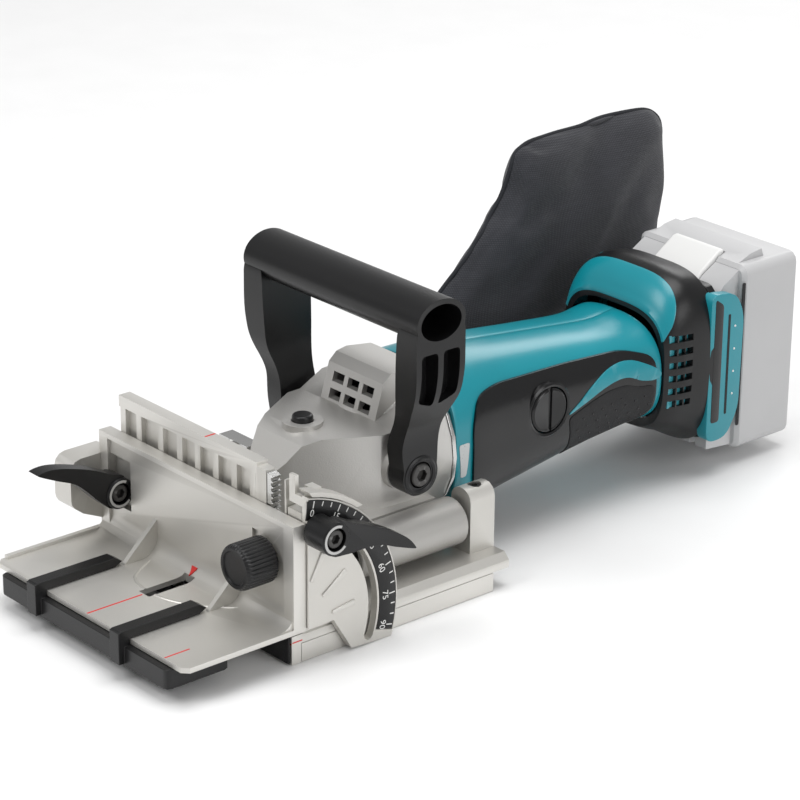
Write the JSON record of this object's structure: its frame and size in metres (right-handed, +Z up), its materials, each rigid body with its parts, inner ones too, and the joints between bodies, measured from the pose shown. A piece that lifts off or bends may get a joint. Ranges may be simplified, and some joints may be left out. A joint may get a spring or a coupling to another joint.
{
  "type": "biscuit joiner",
  "caption": "Cordless plate joiner: plunging motor unit with D-handle on a cast base, tilting height-adjustable fence, side dust bag and slide-on battery.",
  "frame": {"origin": "point of the sole right below the blade's axis at rest", "axes": "+Y from the base's front face back towards the battery, +X towards the angle scale, +Z up"},
  "size_m": [0.1857, 0.4325, 0.1542],
  "materials": {
    "cast_aluminium": "satin cast",
    "gear_case_metal": "semi-gloss cast",
    "steel": "ground",
    "dark_steel": "blackened",
    "black_plastic": "semi-matt",
    "soft_grip": "fine grain",
    "teal_plastic": "semi-gloss",
    "bag_fabric": "woven",
    "battery_plastic": "matt light grey",
    "light_plastic": "matt near-white",
    "winding": "dull copper"
  },
  "bodies": {
    "base": {"base_casting": "cast_aluminium", "front_pad": "soft_grip", "guide_rod_right": "steel", "guide_rod_left": "steel", "return_spring_right": "steel", "return_spring_left": "steel", "scale_pointer": "cast_aluminium", "angle_lock_screw": "dark_steel", "dust_nozzle": "black_plastic", "bag_collar": "black_plastic", "dust_bag": "bag_fabric"},
    "cover": {"blade_cover": "cast_aluminium", "cover_screw": "dark_steel", "cover_hinge_pin": "steel"},
    "motor_unit": {"gear_housing": "gear_case_metal", "slide_sleeve_right": "gear_case_metal", "slide_sleeve_left": "gear_case_metal", "motor_ring": "steel", "housing_right": "teal_plastic", "housing_left": "teal_plastic", "grip_right": "soft_grip", "grip_left": "soft_grip", "rear_collar": "black_plastic", "battery_mount": "black_plastic", "d_handle": "black_plastic", "handle_bolt_right": "dark_steel", "handle_bolt_left": "dark_steel", "spindle_bearing": "steel", "rotor_bearing_front": "steel", "rotor_bearing_rear": "steel", "stator": "dark_steel", "brush_cap_right": "black_plastic", "brush_cap_left": "black_plastic", "switch_unit": "black_plastic", "depth_stop_rod": "steel"},
    "spindle_set": {"spindle": "steel", "bevel_gear": "steel", "inner_flange": "steel", "blade": "steel", "lock_nut": "dark_steel"},
    "rotor": {"rotor_shaft": "steel", "rotor_core": "winding", "commutator": "winding", "fan": "black_plastic"},
    "angle_guide": {"guide_plate": "cast_aluminium", "scale_band": "black_plastic", "height_rack": "steel"},
    "fence": {"fence_plate": "cast_aluminium", "set_plate": "black_plastic", "height_lock_screw": "dark_steel"},
    "knob": {"height_knob": "black_plastic"},
    "fence_lever": {"height_lever": "black_plastic"},
    "guide_lever": {"angle_lever": "black_plastic"},
    "spindle_lock": {"shaft_lock": "black_plastic"},
    "switch": {"slide_switch": "black_plastic"},
    "depth_stop": {"depth_turret": "black_plastic"},
    "battery_pack": {"battery": "battery_plastic"},
    "pack_button": {"battery_button": "light_plastic"}
  },
  "joints": [
    {"name": "plunge", "type": "slide", "parent": "base", "child": "motor_unit", "axis": [0, -1, 0], "range_m": [0, 0.022], "stiffness_N_per_m": 700, "springref_m": -0.03, "deforming": ["return_spring_right", "return_spring_left"]},
    {"name": "blade_spin", "type": "hinge", "parent": "motor_unit", "child": "spindle_set", "pos_m": [0, 0, 0.01], "axis": [0, 0, 1], "continuous": true},
    {"name": "rotor_spin", "type": "hinge", "parent": "motor_unit", "child": "rotor", "pos_m": [0, 0, 0.057], "axis": [0, 1, 0], "continuous": true},
    {"name": "guide_tilt", "type": "hinge", "parent": "base", "child": "angle_guide", "pos_m": [0, -0.0555, 0.0197], "axis": [1, 0, 0], "range_deg": [0, 90]},
    {"name": "knob_turn", "type": "hinge", "parent": "fence", "child": "knob", "pos_m": [0.052, -0.052, 0.047], "axis": [0, -1, 0], "range_deg": [0, 437]},
    {"name": "fence_height", "type": "slide", "parent": "angle_guide", "child": "fence", "axis": [0, 0, 1], "range_m": [0, 0.0305]},
    {"name": "height_lock", "type": "hinge", "parent": "fence", "child": "fence_lever", "pos_m": [-0.058, -0.055, 0.0435], "axis": [1, 0, 0], "range_deg": [-25, 30]},
    {"name": "angle_lock", "type": "hinge", "parent": "base", "child": "guide_lever", "pos_m": [0.08, -0.0407, 0.065], "axis": [1, 0, 0], "range_deg": [0, 60]},
    {"name": "spindle_lock_press", "type": "slide", "parent": "motor_unit", "child": "spindle_lock", "axis": [0, 0, -1], "range_m": [0, 0.0014], "stiffness_N_per_m": 400, "springref_m": -0.001},
    {"name": "switch_slide", "type": "slide", "parent": "motor_unit", "child": "switch", "axis": [0, -1, 0], "range_m": [0, 0.005]},
    {"name": "depth_turn", "type": "hinge", "parent": "base", "child": "depth_stop", "pos_m": [-0.0575, -0.032, 0.052], "axis": [0, 1, 0], "range_deg": [0, 288]},
    {"name": "battery_slide", "type": "slide", "parent": "motor_unit", "child": "battery_pack", "axis": [0, 0, 1], "range_m": [0, 0.09]},
    {"name": "pack_release", "type": "slide", "parent": "battery_pack", "child": "pack_button", "axis": [0, 0, -1], "range_m": [0, 0.003], "stiffness_N_per_m": 500, "springref_m": -0.001},
    {"name": "cover_hinge", "type": "hinge", "parent": "base", "child": "cover", "pos_m": [0, 0.075, 0.006], "axis": [1, 0, 0], "range_deg": [0, 90]}
  ],
  "couplings": [
    {"joint": "knob_turn", "follows": "fence_height", "rad_per_m": 250},
    {"joint": "blade_spin", "follows": "rotor_spin", "ratio": 0.3125}
  ]
}
